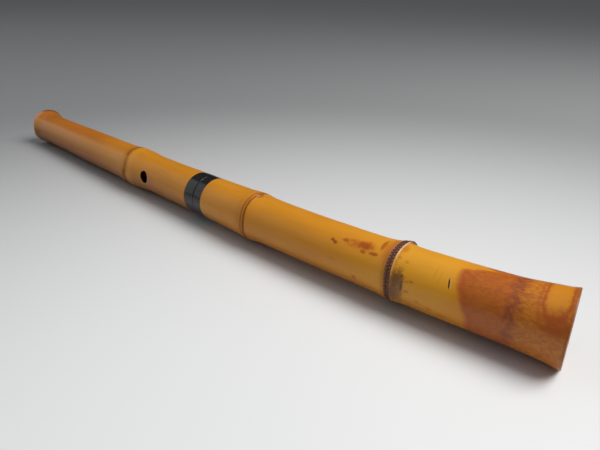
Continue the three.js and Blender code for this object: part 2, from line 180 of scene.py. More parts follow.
# The table's colour is a painted pool of light: pale round a point beside the root end, fading to a painted
# shade away from it.
table_half = 14.0
lit_pool_middle = (0.2, -0.14, 0.0)
lit_pool_start, lit_pool_end = 0.05, 0.65
table_pale, table_painted_shade = (0.73, 0.74, 0.75), (0.28, 0.285, 0.29)
table_corners = [(x * table_half, y * table_half, 0) for x, y in ((-1, -1), (1, -1), (1, 1), (-1, 1))]
table = new_piece("table", table_corners, [(0, 1, 2, 3)])
table_look = bpy.data.materials.new("pale_table_painted_pool")
table_look.use_nodes = True
table_tree = table_look.node_tree
table_surface = table_tree.nodes["Principled BSDF"]
table_way = through(table_tree, "TexCoord", {}, "Object")
table_away = through(table_tree, "VectorMath", {0: table_way, 1: lit_pool_middle}, "Value", operation="DISTANCE")
table_painted_pool = mixed(ramp(table_away, lit_pool_start, lit_pool_end), table_pale, table_painted_shade)
table_painted_pool.put(table_surface.inputs["Base Color"])
table_surface.inputs["Roughness"].default_value = 0.6
table.data.materials.append(table_look)

# Upper length of bamboo: the waist of the flute, from the mouth to the joint, with one node, the thumb hole
# and the fourth finger hole. It is a seasoned culm, oiled and polished, bored out, and cut to a mouth at its
# thick end.
flute_length = 545.0
joint_place = 285.0
flute_origin = (-273.98946, -7.45198, 15.93614)
flute_tilt = math.radians(0.54063839)
metre = 0.001
bends = [(255.0, 1.1), (75.0, 0.0), (165.0, 5.9), (50.0, 6.1)]
skin_sides = 192


def centreline(at):
    """Place and heading of the flute's centre, in millimetres, at places measured from the mouth."""
    at = np.asarray(at, float)
    x, y = np.zeros_like(at), np.zeros_like(at)
    heading = np.full_like(at, -math.radians(bends[0][1]))
    start = 0.0
    for index, (length, degrees) in enumerate(bends):
        low = -np.inf if index == 0 else 0.0
        high = np.inf if index == len(bends) - 1 else length
        step = np.clip(at - start, low, high)
        bend = math.radians(degrees) / length
        after = heading + bend * step
        if bend:
            x += (np.sin(after) - np.sin(heading)) / bend
            y += (np.cos(heading) - np.cos(after)) / bend
        else:
            x += step * np.cos(heading)
            y += step * np.sin(heading)
        heading = after
        start += length
    return x, y, heading


def on_flute(at, turn, reach):
    """Points in metres, from places along the flute, angles from its top towards its back, and reaches."""
    x, y, heading = centreline(at)
    side, up = reach * np.sin(turn), reach * np.cos(turn)
    x, y, z = x + side * np.sin(heading), y - side * np.cos(heading), up
    lean, rise = math.cos(flute_tilt), math.sin(flute_tilt)
    x, z = x * lean - z * rise, x * rise + z * lean
    return np.stack([x + flute_origin[0], y + flute_origin[1], z + flute_origin[2]], -1) * metre


def axes_at(at, turn, reach=0.0):
    """A point on the flute, and the steps of one millimetre out, ahead and across from there."""
    point = on_flute(at, turn, reach)
    out = on_flute(at, turn, reach + 1) - point
    ahead = on_flute(at + 0.01, turn, reach) - point
    ahead = ahead / np.linalg.norm(ahead) * metre
    return point, out, ahead, np.cross(ahead, out) / metre


def lay_straight(mesh):
    """Writes each vertex's place on the flute as if it were straight: along it, towards its back, and up."""
    points = np.empty(len(mesh.vertices) * 3, np.float32)
    mesh.vertices.foreach_get("co", points)
    points = points.reshape(-1, 3).astype(float) / metre - flute_origin
    lean, rise = math.cos(flute_tilt), math.sin(flute_tilt)
    x, y = points[:, 0] * lean + points[:, 2] * rise, points[:, 1]
    up = points[:, 2] * lean - points[:, 0] * rise
    at = x.copy()
    for _ in range(5):
        cx, cy, heading = centreline(at)
        at += (x - cx) * np.cos(heading) + (y - cy) * np.sin(heading)
    cx, cy, heading = centreline(at)
    side = (x - cx) * np.sin(heading) - (y - cy) * np.cos(heading)
    written = mesh.attributes.new("straight", "FLOAT_VECTOR", "POINT")
    written.data.foreach_set("vector", (np.stack([at, side, up], -1) * metre).astype(np.float32).ravel())


def smooth_through(points, at):
    """A monotone cubic through pairs of place and value."""
    place, value = np.array(points, float).T
    at = np.clip(np.asarray(at, float), place[0], place[-1])
    slope = np.diff(value) / np.diff(place)
    before, after = slope[:-1], slope[1:]
    both = before * after > 0
    tangent = np.zeros(len(place))
    tangent[1:-1][both] = 2 * before[both] * after[both] / (before + after)[both]
    end = np.clip(np.searchsorted(place, at, side="right"), 1, len(place) - 1)
    width = place[end] - place[end - 1]
    share = (at - place[end - 1]) / width
    rest = 1 - share
    rise = value[end - 1] * (1 + 2 * share) * rest**2 + value[end] * (3 - 2 * share) * share**2
    return rise + (tangent[end - 1] * share * rest**2 - tangent[end] * share**2 * rest) * width


def bump(distance, reach):
    return np.exp(-((distance / reach) ** 2))


def turn_from(turn, degrees):
    """The angle from a direction in degrees, the short way round."""
    return np.mod(turn - math.radians(degrees) + math.pi, 2 * math.pi) - math.pi


def turn_bump(turn, degrees, spread):
    return bump(turn_from(turn, degrees), math.radians(spread))


def soft_step(share):
    share = np.clip(share, 0, 1)
    return share * share * (3 - 2 * share)


thumb_node = 187.2
middle_node = 341.0
root_node = 453.0
upper_girths = [
    (0, 14.75),
    (34.2, 14.77),
    (59.85, 14.86),
    (99.75, 15.33),
    (125.4, 15.47),
    (153.9, 15.59),
    (176.7, 15.49),
    (213.75, 15.29),
    (245.1, 15.4),
    (285, 15.75),
]
lower_girths = [
    (285, 15.75),
    (317.5, 16.175),
    (350, 15.852),
    (379.9, 15.869),
    (404.6, 15.954),
    (430.6, 16.107),
    (474.8, 16.94),
    (493, 17.263),
    (508.6, 17.45),
    (545, 17.45),
]
undulations = [(31.0, 2, 0.4), (47.0, -3, 1.9), (74.0, 1, 3.3), (19.0, 4, 5.1), (120.0, -2, 0.9)]
undulation_height, undulation_offset, undulation_end = 0.022, -0.1, 25
mouth_swell, mouth_swell_spread, mouth_swell_lift = 2.5, 9, 1.3
bell_flare, bell_flare_length, bell_flare_power = 3.2, 48, 2.3
bell_lip, bell_lip_spread = 0.5, 4
bell_rubbed, bell_rubbed_spread = 0.8, 7
node_swells = [(thumb_node + 5, 1.33, 17), (middle_node - 2.5, 1.05, 10.6), (root_node, 0.8, 7.5)]


def natural_swell(at, turn):
    """The slight unevenness of a grown culm, which dies away at its two ends."""
    total = 0
    for length, times, phase in undulations:
        total = total + np.sin(2 * math.pi * at / length + times * turn + phase)
    ends = np.clip(at / undulation_end, 0, 1) * np.clip((flute_length - at) / undulation_end, 0, 1)
    return (undulation_height * total + undulation_offset) * ends


def plain_reach(at):
    """Reach of the skin without the fine grooves at its nodes."""
    girth = np.where(at < joint_place, smooth_through(upper_girths, at), smooth_through(lower_girths, at))
    reach = girth + mouth_swell * bump(at, mouth_swell_spread)
    flare = np.clip(1 - (flute_length - at) / bell_flare_length, 0, None)
    reach = reach + bell_flare * flare**bell_flare_power + bell_lip * bump(flute_length - at, bell_lip_spread)
    for place, height, spread in node_swells:
        reach = reach + height * bump(at - place, spread)
    return reach


def mouth_lift(at, turn):
    """The swell at the mouth is set upwards: the flute was cut a little off the middle of its first node."""
    return mouth_swell_lift * bump(at, mouth_swell_spread) * np.cos(turn)


def bell_trim(at, turn):
    """The rim of the bell is rubbed down a little at its top."""
    return bell_rubbed * bump(flute_length - at, bell_rubbed_spread) * turn_bump(turn, -30, 34)


def skin_reach(at, turn):
    """Reach of the finished skin at places and angles."""
    reach = plain_reach(at) + mouth_lift(at, turn) + natural_swell(at, turn) - bell_trim(at, turn)
    uneven = 1 + 0.18 * np.sin(2 * turn + 0.7) + 0.1 * np.sin(5 * turn)
    for place, height, half in (
        (thumb_node, -0.24 * uneven, 0.9),
        (thumb_node + 1.7, 0.1, 1.5),
        (thumb_node - 1.6, 0.04, 1.2),
        (middle_node, -0.3 * uneven, 0.6),
        (middle_node - 2.5, -0.2, 0.7),
        (middle_node - 1.2, 0.16, 0.8),
        (middle_node + 1.3, 0.16, 1.0),
        (root_node + 2.4, 0.34, 0.5),
    ):
        reach = reach + height * bump(at - place, half)
    cap = bump(np.minimum(at - root_node - 1.5, 0), 3.5) * soft_step((root_node + 4.2 - at) / 0.9)
    reach = reach + 1.25 * cap * turn_bump(turn, -36, 20)
    return reach - 0.28 * soft_step((2.1 - np.abs(at - root_node)) / 0.5)


# how far each node is drawn towards the bell where a branch grew, at which angle, and how widely
thumb_drawn = (3.6, 70, 30)
middle_drawn = (1.3, 82, 28)
middle_drawn_back = (-2.6, -12, 20)
root_drawn = (1.8, 98, 42)


def drawn(turn, far, degrees, spread):
    return far * turn_bump(turn, degrees, spread)


def drawn_down(at, turn):
    """How far the skin is drawn towards the bell at places and angles."""
    thumb = drawn(turn, *thumb_drawn) * bump(at - thumb_node, 14)
    root = drawn(turn, *root_drawn) * bump(at - root_node, 14)
    middle = drawn(turn, *middle_drawn) + drawn(turn, *middle_drawn_back)
    return thumb + root + middle * bump(at - middle_node, 9)


def places_between(start, end, step, close):
    """Even places with close ones round those that are named."""
    count = max(2, int(round((end - start) / step)) + 1)
    fine = [np.linspace(start, end, count)]
    for centre, half, least in close:
        fine.append(np.arange(centre - half, centre + half, least))
    every = np.unique(np.round(np.concatenate(fine), 4))
    every = every[(every > start) & (every < end)]
    kept = [start]
    for at in every:
        if at - kept[-1] > 0.09 and end - at > 0.09:
            kept.append(at)
    return np.array(kept + [end])


def tube_faces(rows, sides, closed):
    """The faces between rings of points, with the last ring joined to the first where the skin is closed."""
    faces = []
    for row in range(rows if closed else rows - 1):
        near, far = row * sides, (row + 1) % rows * sides
        for step in range(sides):
            after = (step + 1) % sides
            faces.append([near + step, near + after, far + after, far + step])
    return faces


def lathe(name, rings):
    """A closed skin through rings of places and reaches, each as many as the sides."""
    at = np.array([np.broadcast_to(place, reach.shape) for place, reach in rings])
    reach = np.array([reach for _, reach in rings])
    turn = np.linspace(0, 2 * math.pi, reach.shape[1], endpoint=False)
    return new_piece(name, on_flute(at, turn, reach).reshape(-1, 3), tube_faces(*reach.shape, True))


def even(sides, reach):
    return np.full(sides, float(reach))


def face_out(made):
    """Turns all the faces of a closed mesh outwards."""
    bpy.context.view_layer.objects.active = made
    made.select_set(True)
    bpy.ops.object.mode_set(mode="EDIT")
    bpy.ops.mesh.select_all(action="SELECT")
    bpy.ops.mesh.normals_make_consistent(inside=False)
    bpy.ops.object.mode_set(mode="OBJECT")
    made.select_set(False)


def solid(name, points, faces):
    made = new_piece(name, points, faces)
    face_out(made)
    return made


def prism(name, base, top):
    """A solid between two outlines that have as many points."""
    count = len(base)
    faces = [list(range(count))[::-1], list(range(count, 2 * count))]
    faces += [[i, (i + 1) % count, count + (i + 1) % count, count + i] for i in range(count)]
    return solid(name, [*base, *top], faces)


drill_sides = 56
drill_overrun = 4


def hole_drill(name, at, turn, radius, flare):
    """A straight drill from the bore outwards, eased where it meets the skin."""
    skin = float(skin_reach(at, turn))
    profile = [(0.02, 0.0), (radius, 0.0), (radius, skin - 2.6 * flare)]
    for step in np.linspace(0, math.pi / 2, 8):
        eased = skin - 1.6 * flare + 1.7 * flare * math.sin(step)
        profile.append((radius + flare * (1 - math.cos(step)), eased))
    profile += [(radius + 1.6 * flare, skin + drill_overrun), (0.02, skin + drill_overrun)]
    centre, out, ahead, width = axes_at(at, turn)
    spin = np.linspace(0, 2 * math.pi, drill_sides, endpoint=False)
    rim = np.outer(np.cos(spin), ahead) + np.outer(np.sin(spin), width)
    points = np.concatenate([centre + height * out + reach * rim for reach, height in profile])
    ends = [list(range(drill_sides)), list(range(len(points) - drill_sides, len(points)))]
    return solid(name, points, tube_faces(len(profile), drill_sides, False) + ends)


def cut_away(made, cutters):
    """Cuts each cutter out of a piece, and deletes it."""
    for cutter in cutters:
        cut = made.modifiers.new("cut", "BOOLEAN")
        cut.operation = "DIFFERENCE"
        cut.solver = "EXACT"
        cut.object = cutter
        bpy.context.view_layer.objects.active = made
        bpy.ops.object.modifier_apply(modifier=cut.name)
        bpy.data.objects.remove(cutter)


def finish_piece(made, node, body, material, angle=32):
    """Shades a piece, gives it its places on the flute and its finish, and fixes it to its body."""
    mesh = made.data
    lay_straight(mesh)
    mesh.materials.clear()
    mesh.materials.append(material)
    bpy.context.view_layer.objects.active = made
    made.select_set(True)
    bpy.ops.object.shade_smooth_by_angle(angle=math.radians(angle))
    made.select_set(False)
    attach(made, body)
    if node:
        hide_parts(node)


def noise(straight, scales, detail=2.0, roughness=0.5):
    """Noise whose grain has its own scale each way, per metre."""
    spread = through(straight.tree, "VectorMath", {0: straight, 1: scales}, operation="MULTIPLY")
    grained = {"Vector": spread, "Scale": 1.0, "Detail": detail, "Roughness": roughness}
    return through(straight.tree, "TexNoise", grained, "Fac")


def fading(value):
    """Full where the value is nothing, and fading away on both sides."""
    return (value * value * -1.0).worked("EXPONENT")


def place_and_angle(straight):
    """The place along the flute, and the angle from its top towards its back."""
    parts = add_node(straight.tree, "SeparateXYZ", {0: straight}).outputs
    place, side, up = (Varying(straight.tree, part) for part in parts)
    return place, side.worked("ARCTAN2", up)


def out_from_centre(straight):
    across = through(straight.tree, "VectorMath", {0: straight, 1: (0, 1, 1)}, operation="MULTIPLY")
    return through(straight.tree, "VectorMath", {0: across}, "Value", operation="LENGTH")


def lay(colour, mask, share, shade):
    return mixed(mask * share, colour, shade)


def new_group(name, inputs, outputs):
    """A shader node group with its named inputs and outputs."""
    group = bpy.data.node_groups.new(name, "ShaderNodeTree")
    for label, kind, value in inputs:
        socket = group.interface.new_socket(label, in_out="INPUT", socket_type="NodeSocket" + kind)
        if value is not None:
            socket.default_value = value
    for label, kind in outputs:
        group.interface.new_socket(label, in_out="OUTPUT", socket_type="NodeSocket" + kind)
    given = {socket.name: Varying(group, socket) for socket in group.nodes.new("NodeGroupInput").outputs}
    return group, given, group.nodes.new("NodeGroupOutput").inputs


def use_group(group, inputs):
    tree = inputs["Straight"].tree
    made = add_node(tree, "Group", {})
    made.node_tree = group
    for name, value in inputs.items():
        if isinstance(value, Varying):
            value.put(made.inputs[name])
        else:
            made.inputs[name].default_value = value
    return {socket.name: Varying(tree, socket) for socket in made.outputs}


# The grain of polished bamboo: long fine fibres, a faint mottle and a few short dark flecks.
grain, given, gives = new_group(
    "bamboo_grain",
    [
        ("Straight", "Vector", None),
        ("Pale", "Color", (0.62, 0.27, 0.02, 1.0)),
        ("Deep", "Color", (0.5, 0.19, 0.012, 1.0)),
        ("Fibre", "Float", 0.3),
        ("Mottle", "Float", 0.5),
        ("Flecks", "Float", 0.3),
    ],
    [("Color", "Color"), ("Roughness", "Float"), ("Height", "Float")],
)
fibres = noise(given["Straight"], (22, 1500, 1500), 3.0, 0.6)
fine_fibres = noise(given["Straight"], (70, 4200, 4200))
mottle = noise(given["Straight"], (26, 90, 90), 4.0, 0.55)
clouds = noise(given["Straight"], (9, 40, 40))
specks = noise(given["Straight"], (320, 1100, 1100))
deep_share = (ramp(mottle, 0.4, 0.68) + ramp(clouds, 0.4, 0.65)) * given["Mottle"]
deep_share = ramp(fibres, 0.35, 0.75) * given["Fibre"] + deep_share
colour = mixed(deep_share, given["Pale"], given["Deep"])
lay(colour, ramp(specks, 0.7, 0.78), given["Flecks"], (0.2, 0.06, 0.01)).put(gives["Color"])
(fine_fibres * 0.08 + mottle * 0.12 + 0.3).put(gives["Roughness"])
(fibres * 0.6 + fine_fibres * 0.4).put(gives["Height"])

# A stain or scar: a ragged oval patch at a place and an angle on the skin.
stain, given, gives = new_group(
    "skin_mark",
    [
        ("Straight", "Vector", None),
        ("Place", "Float", 0.0),
        ("Angle", "Float", 0.0),
        ("Half length", "Float", 0.01),
        ("Half angle", "Float", 0.3),
        ("Softness", "Float", 0.3),
        ("Ragged", "Float", 0.3),
        ("Grain", "Float", 300.0),
    ],
    [("Mask", "Float")],
)
place, angle = place_and_angle(given["Straight"])
off_place = (place - given["Place"]) / given["Half length"]
off_angle = (angle - given["Angle"]) / given["Half angle"]
ragged = (noise(given["Straight"], given["Grain"], 3.0, 0.6) - 0.5) * given["Ragged"] * 4.0
edge = (off_place * off_place + off_angle * off_angle) ** 0.5 + ragged
ramp(edge, given["Softness"] * -1.0 + 1.0, given["Softness"] + 1.0, 1.0, 0.0).put(gives["Mask"])

# A ring round the culm, drawn towards the bell at one angle.
ring_mark, given, gives = new_group(
    "ring_mark",
    [
        ("Straight", "Vector", None),
        ("Place", "Float", 0.0),
        ("Half width", "Float", 0.0005),
        ("Drawn", "Float", 0.0),
        ("Drawn at", "Float", 0.0),
        ("Drawn spread", "Float", 0.5),
        ("Ragged", "Float", 0.0),
    ],
    [("Mask", "Float")],
)
place, angle = place_and_angle(given["Straight"])
pulled = fading((angle - given["Drawn at"]) / given["Drawn spread"]) * given["Drawn"]
wander = (noise(given["Straight"], (300, 300, 300)) - 0.5) * given["Ragged"]
fading((place - (pulled + given["Place"] + wander)) / given["Half width"]).put(gives["Mask"])


def new_finish(name, coat, coat_roughness, specular=0.5):
    """A material with one principled surface, and its places on the straightened flute."""
    made = bpy.data.materials.new(name)
    made.use_nodes = True
    surface = made.node_tree.nodes["Principled BSDF"]
    surface.inputs["Coat Weight"].default_value = coat
    surface.inputs["Coat Roughness"].default_value = coat_roughness
    surface.inputs["Specular IOR Level"].default_value = specular
    return made, surface, through(made.node_tree, "Attribute", {}, "Vector", attribute_name="straight")


def paint(surface, colour, roughness, height, depth):
    """Gives a surface its colour, its roughness and its fine relief, which is so many metres deep."""
    colour.put(surface.inputs["Base Color"])
    roughness.put(surface.inputs["Roughness"])
    relief = through(colour.tree, "Bump", {"Height": height, "Distance": depth, "Strength": 1.0}, "Normal")
    relief.put(surface.inputs["Normal"])


def grown(straight, pale, deep, fibre, mottle, flecks):
    """The grain of bamboo, in its own two colours."""
    names = ("Straight", "Pale", "Deep", "Fibre", "Mottle", "Flecks")
    pale, deep = (shade if isinstance(shade, Varying) else (*shade, 1.0) for shade in (pale, deep))
    return use_group(grain, dict(zip(names, (straight, pale, deep, fibre, mottle, flecks))))


def mark(straight, place, degrees, half_length, half_degrees, softness, ragged, grain_size):
    set_out = {
        "Straight": straight,
        "Place": place * metre,
        "Angle": math.radians(degrees),
        "Half length": half_length * metre,
        "Half angle": math.radians(half_degrees),
        "Softness": softness,
        "Ragged": ragged,
        "Grain": grain_size,
    }
    return use_group(stain, set_out)["Mask"]


def ring_line(straight, place, half_width, drawn=0.0, degrees=0.0, spread=30.0, ragged=0.0):
    set_out = {
        "Straight": straight,
        "Place": place * metre,
        "Half width": half_width * metre,
        "Drawn": drawn * metre,
        "Drawn at": math.radians(degrees),
        "Drawn spread": math.radians(spread),
        "Ragged": ragged * metre,
    }
    return use_group(ring_mark, set_out)["Mask"]


def lay_stains(straight, colour, stains):
    """Lays ragged stains on a colour, each given as what mark takes, then its share and its shade."""
    for *shape, share, shade in stains:
        colour = lay(colour, mark(straight, *shape), share, shade)
    return colour


def cut_wood(straight, pale, deep):
    """The end grain of a cut face."""
    return mixed(ramp(noise(straight, (100, 1500, 1500), 2.0, 0.6), 0.4, 0.65), pale, deep)


thumb_hole = (218.0, math.radians(83))
fourth_hole = (260.5, math.radians(263))
hole_radius = 5.1
hole_flare = 0.42
mouth_bore = 10.0
rim_round = 2.2
rim_ease = 0.35
seat_depth = 0.95
wall_reach = 11.15
upper_band_start = 274.0
upper_end = 284.92
tenon_start = 267.0
seat_gap = 0.15
lining_start = 11.0
upper_wall = 1.35


def bore_reach(at):
    return smooth_through([(0, 10.0), (285, 9.3), (430, 7.9), (545, 9.8)], at)


all_turns = np.linspace(0, 2 * math.pi, skin_sides, endpoint=False)
rings = []
for step in np.linspace(math.pi / 2, 0, 7)[:-1]:
    rim = float(plain_reach(rim_round)) - rim_round + rim_round * math.cos(step)
    rings.append((rim_round * (1 - math.sin(step)), rim + mouth_lift(rim_round, all_turns)))
upper_close = [(thumb_node, 2.6, 0.16), (thumb_node + 4, 6, 0.5), (10, 9, 0.8)]
for at in places_between(rim_round, upper_band_start, 1.6, upper_close):
    rings.append((at + drawn_down(at, all_turns), skin_reach(at, all_turns)))
for at, reach in (
    (upper_band_start, plain_reach(upper_band_start) - seat_depth),
    (upper_end, plain_reach(upper_end) - seat_depth),
    (upper_end, wall_reach),
    (tenon_start - seat_gap, wall_reach),
    *((at, bore_reach(at) + upper_wall) for at in np.linspace(tenon_start - seat_gap, lining_start, 40)),
    (lining_start, bore_reach(lining_start)),
    (lining_start / 2, mouth_bore),
    (rim_ease, mouth_bore),
    (0.0, mouth_bore + rim_ease),
):
    rings.append((at, even(skin_sides, reach)))
upper_tube = lathe("upper_length", rings)

front = math.radians(263)
back = math.radians(83)
overrun = 3
mouth_reach = float(plain_reach(0))
cut_top = mouth_reach + overrun
edge_dip, edge_cut_length = 2.6, 11.5
edge_slope = (float(plain_reach(edge_cut_length)) - mouth_bore) / (edge_cut_length - edge_dip)
chin_inset, chin_cut_length = 3.1, 5.2
chin_slope = chin_inset / chin_cut_length
chin_end = chin_cut_length + overrun
inlay_top, inlay_foot, inlay_length = 13, 9.5, 9.6


def mouth_cutter(name, outline, turn):
    """A prism across the mouth, from an outline of places and reaches."""
    centre, out, ahead, width = axes_at(0.0, turn)
    sides = []
    for half in (-cut_top, cut_top):
        sides.append([centre + x * ahead + y * out + half * width for x, y in outline])
    return prism(name, *sides)


def edge_cutter(name):
    """The oblique cut that makes the blowing edge."""
    low = mouth_bore - (overrun + edge_dip) * edge_slope
    end = edge_dip + (cut_top - mouth_bore) / edge_slope
    return mouth_cutter(name, [(-overrun, low), (end, cut_top), (-overrun, cut_top)], front)


def inlay_block(name, start, gap):
    """The tapering block of the inlay, or its pocket when it starts above the rim and has a gap round it."""
    centre, out, ahead, width = axes_at(0.0, front)
    foot = inlay_length + gap
    taper = (inlay_top - inlay_foot) / (2 * inlay_length)
    top_half, foot_half = inlay_top / 2 + gap - start * taper, inlay_foot / 2 + gap
    outline = [(start, -top_half), (foot, -foot_half), (foot, foot_half), (start, top_half)]
    ends = []
    for reach in (mouth_bore / 2, mouth_reach):
        ends.append([centre + x * ahead + reach * out + w * width for x, w in outline])
    return prism(name, *ends)


def drills(*holes):
    return [hole_drill("finger_drill", *hole, hole_radius, hole_flare) for hole in holes]


chin_low = mouth_reach - chin_inset - overrun * chin_slope
chin_top = mouth_reach - chin_inset + chin_end * chin_slope
chin_outline = [(-overrun, chin_low), (chin_end, chin_top), (-overrun, chin_top)]
chin_cutter = mouth_cutter("chin_cut", chin_outline, back)
pocket_cutter = inlay_block("pocket", -overrun, seat_gap)
cut_away(upper_tube, [chin_cutter, edge_cutter("edge_cut"), pocket_cutter, *drills(thumb_hole, fourth_hole)])

hole_dark = (0.012, 0.005, 0.004)
skin_coat = 0.15
skin_relief = 0.00004
dull_roughness = 0.4
upper_look, surface, straight = new_finish("upper_bamboo", skin_coat, 0.2, 0.3)
place, angle = place_and_angle(straight)
below = ramp(place, 0.11, 0.192)
upper_pale = mixed(below, (0.52, 0.16, 0.001), (0.635, 0.245, 0.005))
upper_deep = mixed(below, (0.4, 0.11, 0.001), (0.5, 0.178, 0.004))
bamboo = grown(straight, upper_pale, upper_deep, fibre=0.25, mottle=0.24, flecks=0.2)
# painted shade: darker towards the mouth end, which lies further from the light
colour = lay(bamboo["Color"], ramp(place, 0.05, -0.01), 0.55, (0.3, 0.085, 0.003))
# painted shade: darker towards the underside
painted_underside_shade = ramp(abs(angle - 2.6), 1.3, 0.6)
colour = lay(colour, painted_underside_shade, 0.6, (0.22, 0.06, 0.002))
swell_highlight = ring_line(straight, thumb_node + 6, 5.0, 2.5, 70, 30, ragged=1.0)
above_groove = ring_line(straight, thumb_node - 4.5, 2.4, 3.4, 70, 30, ragged=0.8)
groove = ring_line(straight, thumb_node - 0.4, 2.9, *thumb_drawn, ragged=0.6)
# painted highlight: paler and yellower over the swell on the bell side of the thumb node
colour = lay(colour, swell_highlight, 0.5, (0.72, 0.31, 0.013))
colour = lay(colour, above_groove, 0.25, (0.36, 0.09, 0.01))
colour = lay(colour, groove, 0.92, (0.27, 0.07, 0.001))
# dark over the top of the mouth rim, and reddened below the thumb hole
upper_stains = [
    (0.3, -20, 4.6, 46, 0.5, 0.2, 300.0, 0.88, (0.07, 0.024, 0.016)),
    (227, 98, 6, 22, 0.6, 0.2, 300.0, 0.35, (0.42, 0.11, 0.045)),
    (223, 83, 2.2, 16, 0.5, 0.1, 300.0, 0.35, (0.5, 0.19, 0.09)),
]
colour = lay_stains(straight, colour, upper_stains)
# painted sheen: a pale strip along the flank of the upper length, towards the mouth
painted_sheen_strip = ramp(angle, 0.6, 0.8) * ramp(angle, 1.5, 1.36) * ramp(place, 0.2, 0.185)
colour = lay(colour, painted_sheen_strip, 0.45, (0.66, 0.29, 0.03))
# painted highlight on the rounded rim of the mouth
rim_highlight = ramp(place, 0.0038, 0.0074, 1.0, 0.0) * ramp(angle, 0.0, 0.5)
colour = lay(colour, rim_highlight, 0.7, (0.6, 0.27, 0.14))
skin_depth = out_from_centre(straight) - ramp(place, 0.1, 0.15, 0.0142, 0.0151)
rim_wood = cut_wood(straight, (0.5, 0.26, 0.08), (0.3, 0.13, 0.035))
inside = mixed(ramp(place, 0.012, 0.0135), rim_wood, hole_dark)
colour = mixed(ramp(skin_depth, -0.0003, 0.0, 1.0, 0.0), colour, inside)
paint(surface, colour, groove * dull_roughness + bamboo["Roughness"], bamboo["Height"], skin_relief)
(groove * -skin_coat + skin_coat).put(surface.inputs["Coat Weight"])
finish_piece(upper_tube, "upper_tube", "upper_length", upper_look)

# The blowing edge: a wedge of dark horn let into the front of the mouth, filed flush with the oblique cut
# outside and with the bore inside. It is glued in a tapering pocket.
plug_half, plug_core, plug_sides = 16.0, 0.05, 96
inlay = inlay_block("blowing_edge", 0, 0)
plug_profile = [(-plug_half, plug_core), (-plug_half, mouth_bore)]
plug_profile += [(plug_half, mouth_bore), (plug_half, plug_core)]
bore_plug = lathe("bore_plug", [(at, even(plug_sides, reach)) for at, reach in plug_profile])
face_out(bore_plug)
cut_away(inlay, [edge_cutter("edge_cut"), bore_plug])
horn_look, surface, straight = new_finish("horn", 0.4, 0.08)
streaks = noise(straight, (500, 60, 60), 3.0, 0.6)
colour = mixed(ramp(streaks, 0.4, 0.7), (0.012, 0.009, 0.008), (0.05, 0.035, 0.024))
paint(surface, colour, streaks * 0.15 + 0.14, streaks, 0.00002)
finish_piece(inlay, "blowing_edge_inlay", "upper_length", horn_look)

# The bore linings: filler of stone powder and lacquer, built up inside each length and polished red-brown.
# The holes are cut through them.
lining_sides = 96
upper_lining_wall, lower_lining_wall = 1.2, 1.6
socket_end = 306.3
third_hole = (316.0, front)
second_hole = (370.5, front)
first_hole = (425.0, front)


def lining(name, start, end, wall, cutters):
    places = np.linspace(start, end, 44)
    outer = [(at, even(lining_sides, bore_reach(at) + wall)) for at in places]
    inner = [(at, even(lining_sides, bore_reach(at))) for at in places[::-1]]
    made = lathe(name, outer + inner)
    cut_away(made, cutters)
    return made


upper_lining_start, upper_lining_end = lining_start + seat_gap, tenon_start - 2 * seat_gap
upper_drills = drills(thumb_hole, fourth_hole)
upper_lining = lining("upper_lining", upper_lining_start, upper_lining_end, upper_lining_wall, upper_drills)
lower_drills = drills(third_hole, second_hole, first_hole)
lower_lining = lining("lower_lining", socket_end + seat_gap, flute_length, lower_lining_wall, lower_drills)
lining_look, surface, straight = new_finish("bore_lacquer", 0.7, 0.08)
brushed = noise(straight, (60, 500, 500), 3.0, 0.55)
colour = mixed(ramp(brushed, 0.35, 0.7), (0.09, 0.01, 0.006), (0.15, 0.018, 0.008))
paint(surface, colour, brushed * 0.15 + 0.2, brushed, 0.00003)
finish_piece(upper_lining, "upper_bore_lining", "upper_length", lining_look)
finish_piece(lower_lining, "lower_bore_lining", "lower_length", lining_look)

# The joint: a tenon of turned bamboo glued into the upper length, and a sleeve that lines the socket of the
# lower one. The tenon's end is eased so that it enters without catching.
joint_sides = 128
tenon_radius, tenon_end, tenon_round = 11.0, 306.0, 0.4
sleeve_start, sleeve_end = 285.08, 306.15
sleeve_radius, sleeve_bore, sleeve_mouth = 12.08, 11.08, 11.48
tenon_profile = [(tenon_start, tenon_radius), (290.0, tenon_radius), (298.0, tenon_radius)]
for step in np.linspace(0, math.pi / 2, 6):
    eased = tenon_radius - tenon_round + tenon_round * math.cos(step)
    tenon_profile.append((tenon_end - tenon_round + tenon_round * math.sin(step), eased))
tenon_profile += [(tenon_end, bore_reach(tenon_end)), (tenon_start, bore_reach(tenon_start))]
tenon = lathe("tenon_tube", [(at, even(joint_sides, reach)) for at, reach in tenon_profile])
tenon_look, surface, straight = new_finish("tenon_wood", 0.1, 0.3)
bamboo = grown(straight, (0.42, 0.22, 0.06), (0.27, 0.12, 0.03), fibre=0.8, mottle=0.4, flecks=0.6)
rubbed = ring_line(straight, 288.0, 3.0, ragged=3.0)
colour = lay(bamboo["Color"], rubbed, 0.4, (0.13, 0.05, 0.015))
paint(surface, colour, bamboo["Roughness"], bamboo["Height"], 0.00008)
finish_piece(tenon, "tenon", "upper_length", tenon_look)

sleeve_profile = [
    (sleeve_start, sleeve_radius),
    (sleeve_end, sleeve_radius),
    (sleeve_end, sleeve_bore),
    (sleeve_start + 0.4, sleeve_bore),
    (sleeve_start + 0.12, sleeve_bore + 0.12),
    (sleeve_start, sleeve_mouth),
]
sleeve = lathe("socket_tube", [(at, even(joint_sides, reach)) for at, reach in sleeve_profile])
sleeve_look, surface, straight = new_finish("sleeve_wood", 0.1, 0.3)
bamboo = grown(straight, (0.34, 0.17, 0.05), (0.2, 0.09, 0.025), fibre=0.8, mottle=0.4, flecks=0.6)
paint(surface, bamboo["Color"], bamboo["Roughness"], bamboo["Height"], 0.00008)
finish_piece(sleeve, "socket_sleeve", "lower_length", sleeve_look)

